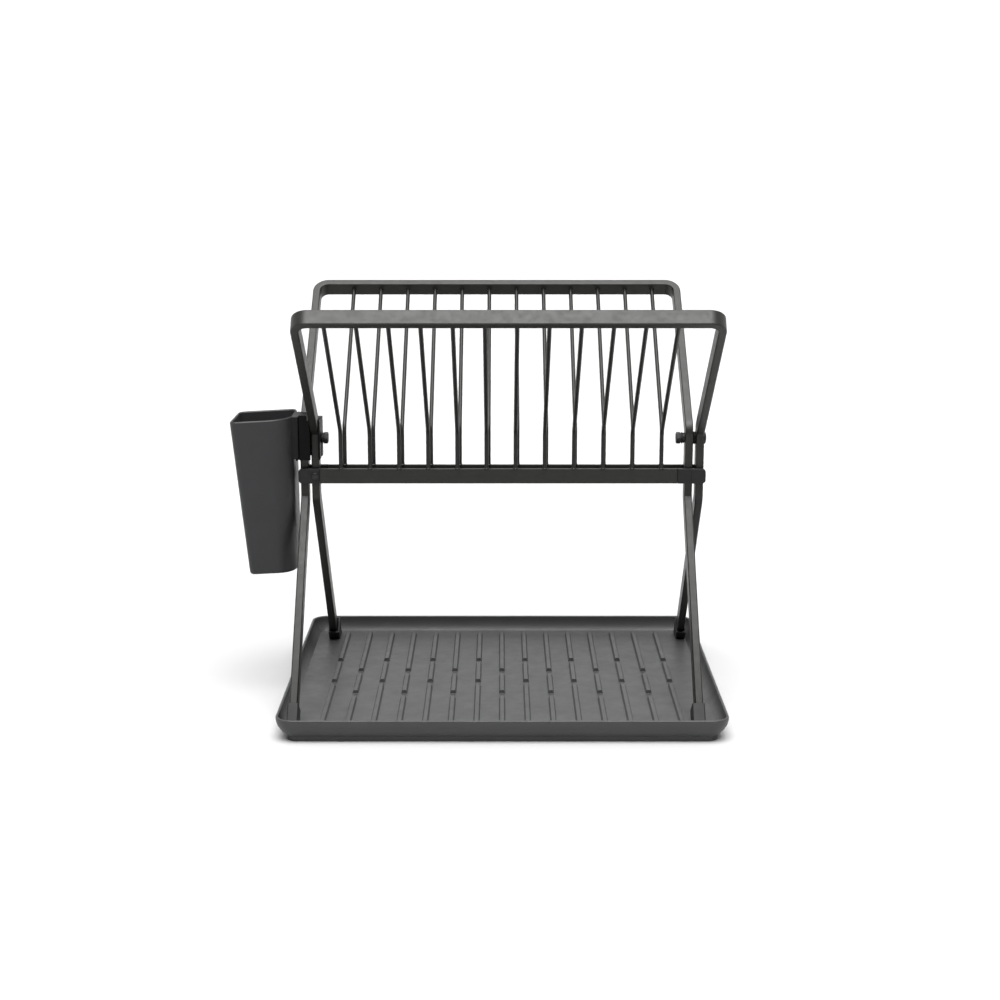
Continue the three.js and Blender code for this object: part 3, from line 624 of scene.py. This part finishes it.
def tray_pocket_rings(low, high):
    """One hollow between the bands of the underside."""
    centre = [(a + b) / 2 for a, b in zip(low, high)]
    half = [(b - a) / 2 for a, b in zip(low, high)]
    rings = []
    for inset, z in POCKET_PROFILE:
        corner = POCKET_CORNER - inset
        points = rounded_rectangle(half[0] - inset, half[1] - inset, corner, centre=centre)
        rings.append([Vector((p.x, p.y, z)) for p in points])
    return rings


def drip_tray():
    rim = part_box("drip_tray")[1]
    bm = bmesh.new()
    x, y = PLINTH_HALF
    bevel = PLINTH_EDGE * 0.3
    plinth = [
        tray_ring(x - PLINTH_EDGE, y - PLINTH_EDGE, PLINTH_CORNER - PLINTH_EDGE, 0),
        tray_ring(x - bevel, y - bevel, PLINTH_CORNER, bevel),
        tray_ring(x, y, PLINTH_CORNER, PLINTH_EDGE),
        tray_ring(x, y, PLINTH_CORNER, TRAY_FLOOR_BOTTOM - PLINTH_DROP),
    ]
    wall_top = rim - Vector((0, 0, TRAY_WALL / 2))
    outside = tray_wall_rings(wall_top, 0, TRAY_OUTSIDE_CURVE, TRAY_FLOOR_BOTTOM)
    inside = tray_wall_rings(wall_top, TRAY_WALL, TRAY_INSIDE_CURVE, TRAY_FLOOR_TOP)
    rings = plinth + outside + tray_rim_rings(rim) + inside[::-1]
    made = add_loft(bm, rings, close_start=False, close_end=False)
    fill_between(bm, made[-1], add_rib_floor(bm))
    edge, half = PLINTH_BAND, PLINTH_BAND / 2
    pockets = []
    for low_x, high_x in ((edge - x, -half), (half, x - edge)):
        for low_y, high_y in ((edge - y, -half), (half, y - edge)):
            pocket = tray_pocket_rings((low_x, low_y), (high_x, high_y))
            pockets.append(add_loft(bm, pocket, close_start=False)[0])
    fill_between(bm, made[0], *pockets)
    name = "drip_tray_moulding"
    add_piece(name, mesh_of(bm, name), "tray_plastic", "tray", "drip_tray")


# ---------------------------------------------------------------- bar frames

SOLE_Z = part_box("front_foot_left")[0].z
FRAME_LOW, FRAME_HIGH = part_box("front_frame_bar")
FRAME_MIDDLE = (FRAME_LOW.x + FRAME_HIGH.x) / 2
LEG_X = (FRAME_HIGH.x - FRAME_LOW.x - BAR_THICKNESS) / 2
LEG_UP = (LOWER_BEND - Vector((FOOT_Y, SOLE_Z))).normalized()
ARM_UP = (RACK_BAR - UPPER_BEND).normalized()


def turned_half(points, prefix):
    """The rear frame is the front one turned half round about the vertical."""
    if prefix == "front":
        return points
    return [Vector((-p.x, -p.y, p.z)) for p in points]


def rounded_path(points, radius, steps):
    """Points and directions along a line through 2D points, with its inner corners rounded."""
    path = [(points[0], (points[1] - points[0]).normalized())]
    for i in range(1, len(points) - 1):
        before = (points[i] - points[i - 1]).normalized()
        after = (points[i + 1] - points[i]).normalized()
        turn = math.atan2(before.x * after.y - before.y * after.x, before.dot(after))
        start = points[i] - before * radius * math.tan(abs(turn) / 2)
        side = Vector((-before.y, before.x)) * math.copysign(1, turn)
        centre = start + side * radius
        for k in range(steps + 1):
            angle = turn * k / steps
            cosine, sine = math.cos(angle), math.sin(angle)
            point = centre + turned(start - centre, cosine, sine)
            path.append((point, turned(before, cosine, sine)))
    path.append((points[-1], (points[-1] - points[-2]).normalized()))
    return path


def bar_ring(centre, outward, across):
    """The bar's section around a point: outward is along its thickness, across along its width."""
    section = rounded_rectangle(BAR_THICKNESS / 2, BAR_WIDTH / 2, BAR_EDGE)
    return [centre + outward * p.x + across * p.y for p in section]


def leg_rings(side):
    """The bar from inside its foot, past both bends, to the top corner."""
    leg_end = Vector((FOOT_Y, SOLE_Z)) + LEG_UP * (FOOT_LENGTH - FOOT_SOCKET)
    corner_start = RACK_BAR - ARM_UP * CORNER_RADIUS
    rings = []
    path = [leg_end, LOWER_BEND, UPPER_BEND, corner_start]
    for point, way in rounded_path(path, BEND_RADIUS, steps=10):
        centre = Vector((FRAME_MIDDLE + side * LEG_X, point.x, point.y))
        rings.append(bar_ring(centre, Vector((side, 0, 0)), Vector((0, -way.y, way.x))))
    return rings


def corner_rings(side, steps=14):
    """The bend from the top of an arm into the rack bar."""
    up = Vector((0, ARM_UP.x, ARM_UP.y))
    across = Vector((0, -ARM_UP.y, ARM_UP.x))
    middle_x = FRAME_MIDDLE + side * (LEG_X - CORNER_RADIUS)
    middle = Vector((middle_x, RACK_BAR.x, RACK_BAR.y)) - up * CORNER_RADIUS
    rings = []
    for k in range(1, steps + 1):
        angle = k / steps * math.pi / 2
        outward = Vector((side * math.cos(angle), 0, 0)) + up * math.sin(angle)
        rings.append(bar_ring(middle + outward * CORNER_RADIUS, outward, across))
    return rings


def frame_bar(prefix):
    left = leg_rings(-1) + corner_rings(-1)
    right = leg_rings(1) + corner_rings(1)
    rings = left + right[::-1]
    name = f"{prefix}_bent_bar"
    mesh = lofted(name, [turned_half(ring, prefix) for ring in rings])
    add_piece(name, mesh, "frame_coating", f"{prefix}_frame", f"{prefix}_frame_bar")


def rod_ring(x, point, way, radius):
    across = Vector((-way.y, way.x))
    ring = []
    for i in range(ROD_SIDES):
        angle = 2 * math.pi * i / ROD_SIDES
        offset = across * math.sin(angle) * radius
        ring.append(Vector((x + math.cos(angle) * radius, point.x + offset.x, point.y + offset.y)))
    return ring


def weld_rings(x, end, way, inward):
    """Rings of a rod's end, from its weld inwards. It's widest at the weld."""
    rings = []
    for share in WELD_SHARES:
        radius = ROD_RADIUS * (1 + WELD_SPREAD * (1 - share) ** 2)
        at = end + way * inward * (ROD_SINK + WELD_LENGTH * share)
        rings.append(rod_ring(x, at, way, radius))
    return rings


def rod_rings(x, shelf_y, shelf_top):
    """A rod from inside the shelf bar's top to just inside the rack bar, spread at its welds."""
    bottom = Vector((shelf_y, shelf_top - ROD_SINK))
    top = RACK_BAR - ARM_UP * (BAR_THICKNESS / 2 - ROD_SINK)
    path = rounded_path([bottom, Vector((shelf_y, UPPER_BEND.y)), top], ROD_BEND_RADIUS, steps=10)
    (first, first_way), (last, last_way) = path[0], path[-1]
    rings = weld_rings(x, first, first_way, inward=1)
    rings += [rod_ring(x, point, way, ROD_RADIUS) for point, way in path[1:-1]]
    rings += weld_rings(x, last, last_way, inward=-1)[::-1]
    rings.insert(0, [p - Vector((0, first_way.x, first_way.y)) * ROD_SINK for p in rings[0]])
    rings.append([p + Vector((0, last_way.x, last_way.y)) * ROD_SINK for p in rings[-1]])
    return rings


def rods(prefix):
    shelf_low, shelf_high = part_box("front_shelf_bar")
    shelf_y = (shelf_low.y + shelf_high.y) / 2
    for i in range(1, ROD_COUNT + 1):
        node = f"{prefix}_rod_{i:02d}"
        low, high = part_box(node)
        x = (low.x + high.x) / 2 * (1 if prefix == "front" else -1)
        rings = [turned_half(ring, prefix) for ring in rod_rings(x, shelf_y, shelf_high.z)]
        name = f"{prefix}_plate_rod_{i:02d}"
        add_piece(name, lofted(name, rings), "rod_coating", f"{prefix}_frame", node)


# ---------------------------------------------------------------- shelf bars, end blocks and feet


def front_box(prefix, node):
    """A node's box, turned to where it would be on the front frame."""
    low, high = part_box(node)
    if prefix == "front":
        return low, high
    return Vector((-high.x, -high.y, low.z)), Vector((-low.x, -low.y, high.z))


def upright_plate(prefix, x_range, y_range, z_range, radii, edge):
    """Rings of a plate that faces the front, with rounded corners and edges."""
    half_x = (x_range[1] - x_range[0]) / 2
    half_z = (z_range[1] - z_range[0]) / 2
    outline = rectangle(half_x, half_z, (x_range[0] + half_x, z_range[0] + half_z))
    rings = rounded_prism(outline, radii, *y_range, edge, lambda a, b, t: Vector((a, t, b)))
    return [turned_half(ring, prefix) for ring in rings]


def shelf_bar(prefix):
    low, high = front_box(prefix, f"{prefix}_shelf_bar")
    blocks = [front_box(prefix, f"{prefix}_shelf_block_{side}") for side in ("left", "right")]
    blocks.sort(key=lambda corners: corners[0].x)
    x_range = (blocks[0][1].x, blocks[1][0].x)
    name = f"{prefix}_shelf_band"
    radii = [BAND_EDGE] * 4
    rings = upright_plate(prefix, x_range, (low.y, high.y), (low.z, high.z), radii, BAND_EDGE)
    add_piece(name, lofted(name, rings), "frame_coating", f"{prefix}_frame", f"{prefix}_shelf_bar")


def end_block(prefix, side):
    """A block over one end of the shelf bar, rounder at its outer end, with a raised pad."""
    node = f"{prefix}_shelf_block_{side}"
    low, high = front_box(prefix, node)
    outer_right = high.x + low.x > 0
    small, big = BLOCK_EDGE, BLOCK_CORNER
    radii = [big, small, small, big] if outer_right else [small, big, big, small]
    bm = bmesh.new()
    y_range = (low.y + PAD_RELIEF, high.y)
    body = upright_plate(prefix, (low.x, high.x), y_range, (low.z, high.z), radii, BLOCK_EDGE)
    add_loft(bm, body)
    if outer_right:
        pad_low, pad_high = high.x - PAD_LENGTH_RIGHT, high.x
    else:
        pad_low, pad_high = low.x, low.x + PAD_LENGTH_LEFT
    pad = upright_plate(
        prefix,
        (pad_low + PAD_INSET, pad_high - PAD_INSET),
        (low.y, low.y + 2 * PAD_RELIEF),
        (low.z + PAD_INSET, high.z - PAD_INSET),
        [big - PAD_INSET] * 4,
        PAD_EDGE,
    )
    add_loft(bm, pad)
    name = f"{node}_moulding"
    mesh = mesh_of(bm, name)
    add_piece(name, mesh, "black_plastic", f"{prefix}_frame", node, material="grey_plastic")


def foot(prefix, side):
    """A sleeve over the leg's end: flat sole, rounded rim, and a socket around the leg."""
    node = f"{prefix}_foot_{side}"
    low, high = front_box(prefix, node)
    leg_side = 1 if high.x > 0 else -1
    leg_x = FRAME_MIDDLE + leg_side * LEG_X
    sole = Vector((FOOT_Y, SOLE_Z))
    across = Vector((-LEG_UP.y, LEG_UP.x))
    half_b = BAR_WIDTH / 2 + FOOT_WALL
    half_a = (high.x - low.x) / 2
    middle = (low.x + high.x) / 2

    def ring(shrink, up, level=None):
        """Around the leg at a distance up it, or cut level at a height above the sole."""
        corner = max(FOOT_CORNER - shrink, FOOT_LEAST_CORNER)
        outline = rounded_rectangle(half_a - shrink, half_b - shrink, corner)
        points = []
        for p in outline:
            base = sole + across * p.y
            rise = up if level is None else (level + SOLE_Z - base.y) / LEG_UP.y
            at = base + LEG_UP * rise
            points.append(Vector((middle + p.x, at.x, at.y)))
        return points

    def socket_ring(up):
        half_thickness = BAR_THICKNESS / 2 + FOOT_PLAY
        outline = rounded_rectangle(half_thickness, BAR_WIDTH / 2 + FOOT_PLAY, BAR_EDGE)
        return [Vector((leg_x + p.x, *(sole + across * p.y + LEG_UP * up))) for p in outline]

    rings = [ring(inset, 0, level=depth) for inset, depth in edge_steps(FOOT_EDGE)]
    rings += [ring(inset, FOOT_LENGTH - depth) for inset, depth in reversed(edge_steps(FOOT_EDGE))]
    rings += [socket_ring(FOOT_LENGTH), socket_ring(FOOT_LENGTH - FOOT_SOCKET)]
    name = f"{node}_sleeve"
    mesh = lofted(name, [turned_half(r, prefix) for r in rings])
    add_piece(name, mesh, "black_plastic", f"{prefix}_frame", node, material="grey_plastic")


def turned_rings(profile, place, sides=32):
    """Rings of a body turned about a line. The profile holds (along, radius) pairs."""
    rings = []
    for along, radius in profile:
        angles = [2 * math.pi * i / sides for i in range(sides)]
        rings.append([place(along, radius * math.cos(a), radius * math.sin(a)) for a in angles])
    return rings


def dome_profile(height, radius, lip, steps=8):
    """A low domed head with a short straight lip, from its crown down to its seat."""
    crown = height - lip
    profile = []
    for k in range(1, steps + 1):
        angle = k / steps * math.pi / 2
        profile.append((crown * (1 - math.cos(angle)), radius * math.sin(angle)))
    return profile + [(height - HEAD_CHAMFER, radius), (height, radius - HEAD_CHAMFER)]


def shelf_rivet(prefix):
    node = f"{prefix}_shelf_rivet"
    low, high = front_box(prefix, node)
    radius = (high.z - low.z) / 2
    centre = Vector(((low.x + high.x) / 2, low.y, (low.z + high.z) / 2))
    profile = dome_profile(RIVET_HEAD, radius, RIVET_LIP)
    profile += [(RIVET_HEAD, RIVET_SHANK), (high.y - low.y, RIVET_SHANK)]
    rings = turned_rings(profile, lambda t, a, b: centre + Vector((a, t, b)), sides=24)
    name = f"{prefix}_rivet_head"
    mesh = lofted(name, [turned_half(ring, prefix) for ring in rings])
    add_piece(name, mesh, "fasteners", f"{prefix}_frame", node)


# ---------------------------------------------------------------- pivot hardware


def pivot_bolt(name, side):
    node = f"{name}_pivot_bolt"
    low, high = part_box(node)
    outer = high.x if side > 0 else low.x
    length = high.x - low.x
    radius = (high.z - low.z) / 2
    profile = dome_profile(BOLT_HEAD, radius, BOLT_LIP)
    profile += [(BOLT_HEAD, BOLT_SHANK), (length, BOLT_SHANK)]
    rings = turned_rings(profile, lambda t, a, b: Vector((outer - side * t, a, PIVOT.z + b)))
    add_piece(f"{node}_turned", lofted(node, rings), "fasteners", "pivots", node)


def pivot_ring(node, slot, edge=0.0004):
    """A spacer or washer: a ring with rounded rims around the bolt."""
    low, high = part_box(node)
    radius = (high.z - low.z) / 2
    bevel = edge * 0.3
    profile = [(low.x, PIVOT_RING_BORE), (low.x, radius - edge)]
    profile += [(low.x + bevel, radius - bevel), (low.x + edge, radius)]
    profile += [(high.x - edge, radius), (high.x - bevel, radius - bevel)]
    profile += [(high.x, radius - edge), (high.x, PIVOT_RING_BORE)]
    rings = turned_rings(profile, lambda t, a, b: Vector((t, a, PIVOT.z + b)))
    bm = bmesh.new()
    add_loft(bm, rings + rings[:1], close_start=False, close_end=False)
    bmesh.ops.remove_doubles(bm, verts=bm.verts, dist=1e-7)
    add_piece(f"{node}_turned", mesh_of(bm, node), slot, "pivots", node)


def pivot_knob(name, side):
    """A hexagonal cap nut with a round groove before the flange at its end."""
    node = f"{name}_pivot_knob"
    low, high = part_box(node)
    start = low.x if side > 0 else high.x
    length = high.x - low.x
    corner = (high.y - low.y) / 2
    flat = (high.z - low.z) / 2
    steps = list(KNOB_NEAR)
    steps += [(length - back, share) for back, share in KNOB_GROOVE + KNOB_END]
    rings = []
    for along, share in steps:
        limit = flat * share if share else corner
        x = start + side * along
        ring = []
        for i in range(KNOB_SIDES):
            angle = 2 * math.pi * i / KNOB_SIDES
            from_flat = angle % (math.pi / 3) - math.pi / 6
            radius = min(limit, flat / math.cos(from_flat))
            ring.append(Vector((x, radius * math.cos(angle), PIVOT.z + radius * math.sin(angle))))
        rings.append(ring)
    mesh = lofted(node, rings)
    add_piece(f"{node}_cap_nut", mesh, "black_plastic", "pivots", node, material="grey_plastic")


def pivots():
    for name, side in (("left", -1), ("right", 1)):
        pivot_bolt(name, side)
        pivot_ring(f"{name}_pivot_spacer", "black_plastic")
        pivot_knob(name, side)
    pivot_ring("right_pivot_washer", "fasteners", edge=0.0003)


# ---------------------------------------------------------------- utensil cup


def cup_ring(height, inset):
    """One level of the cup, in its own upright frame, then tilted into place."""
    low = 1 - height / CUP_HEIGHT
    lost = CUP_HEIGHT * math.tan(CUP_TAPER) * low + inset
    share = 1 - (1 - CUP_BOTTOM_CORNERS) * low
    radii = [max(radius * share - inset, CUP_LEAST_CORNER) for radius in CUP_CORNERS]
    half_x, half_y = CUP_TOP_HALF
    outline = rounded_rectangle(half_x - lost, half_y - lost, radii, steps=10)
    cosine, sine = math.cos(CUP_TILT), math.sin(CUP_TILT)
    ring = []
    for p in outline:
        across, up = p.x * cosine + height * sine, height * cosine - p.x * sine
        ring.append(CUP_FOOT + Vector((across, p.y, up)))
    return ring


def cup_body_rings():
    """The cup from under its floor, up the outside, over the rim and down to its inner floor."""
    edge, lip = CUP_BOTTOM_EDGE, CUP_RIM[0][1]
    outside = CUP_HEIGHT - lip - edge
    inside = outside - CUP_FLOOR
    rings = [cup_ring(height, inset) for inset, height in edge_steps(edge, 6)]
    for k in range(1, CUP_WALL_STEPS):
        rings.append(cup_ring(edge + outside * k / CUP_WALL_STEPS, 0))
    for inset, below in CUP_RIM:
        rings.append(cup_ring(CUP_HEIGHT - below, inset))
    for inset, below in reversed(CUP_RIM):
        rings.append(cup_ring(CUP_HEIGHT - below, CUP_WALL - inset))
    for k in range(1, CUP_WALL_STEPS):
        rings.append(cup_ring(CUP_HEIGHT - lip - inside * k / CUP_WALL_STEPS, CUP_WALL))
    for inset, height in reversed(edge_steps(edge, 6)):
        rings.append(cup_ring(CUP_FLOOR + height, CUP_WALL + inset))
    return rings


def add_block(bm, low, high, edge):
    half_x, half_y = (high.x - low.x) / 2, (high.y - low.y) / 2
    outline = rectangle(half_x, half_y, (low.x + half_x, low.y + half_y))
    radii = [edge] * 4
    rings = rounded_prism(outline, radii, low.z, high.z, edge, lambda a, b, t: Vector((a, b, t)))
    add_loft(bm, rings)


def utensil_cup():
    """The cup, and the rails and tab that hang it on the bracket."""
    name = "utensil_cup_moulding"
    add_piece(name, lofted(name, cup_body_rings()), "cup_plastic", "cup", "utensil_cup")
    bracket_low, bracket_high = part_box("holder_bracket")
    half_depth = (bracket_high.y - bracket_low.y) / 2
    inner, outer = half_depth + CLIP_GAP, half_depth + RAIL_DEPTH
    bm = bmesh.new()
    for facing, overlap in ((-1, RAIL_OVERLAP_FRONT), (1, RAIL_OVERLAP_BACK)):
        web = sorted((facing * inner, facing * outer))
        hook = sorted((facing * (half_depth - HOOK_REACH), facing * outer))
        web_low = Vector((bracket_low.x - overlap, web[0], CLIP_BOTTOM))
        add_block(bm, web_low, Vector((HOOK_X, web[1], CLIP_TOP)), CLIP_EDGE)
        hook_low = Vector((HOOK_X - HOOK_THICKNESS, hook[0], CLIP_BOTTOM))
        add_block(bm, hook_low, Vector((HOOK_X, hook[1], CLIP_TOP)), CLIP_EDGE)
    tab_low = Vector((bracket_low.x - RAIL_OVERLAP_BACK, -inner, CLIP_TOP - TAB_THICKNESS))
    add_block(bm, tab_low, Vector((HOOK_X, inner, CLIP_TOP)), TAB_EDGE)
    name = "utensil_cup_clip"
    mesh = mesh_of(bm, name)
    add_piece(name, mesh, "black_plastic", "cup", "utensil_cup", material="clip_plastic")


# ---------------------------------------------------------------- the whole rack


def rack_frame(prefix):
    frame_bar(prefix)
    rods(prefix)
    shelf_bar(prefix)
    for side in ("left", "right"):
        end_block(prefix, side)
        foot(prefix, side)
    shelf_rivet(prefix)
    pin = frame["nodes"][f"{prefix}_shelf_pin"]
    pin.data.materials.clear()
    pin.data.materials.append(MATERIALS["fasteners"])


add_studio()
drip_tray()
rack_frame("front")
rack_frame("rear")
pivots()
refined("holder_bracket_moulding", "holder_bracket", "black_plastic", "bracket", BRACKET_EDGE)
utensil_cup()
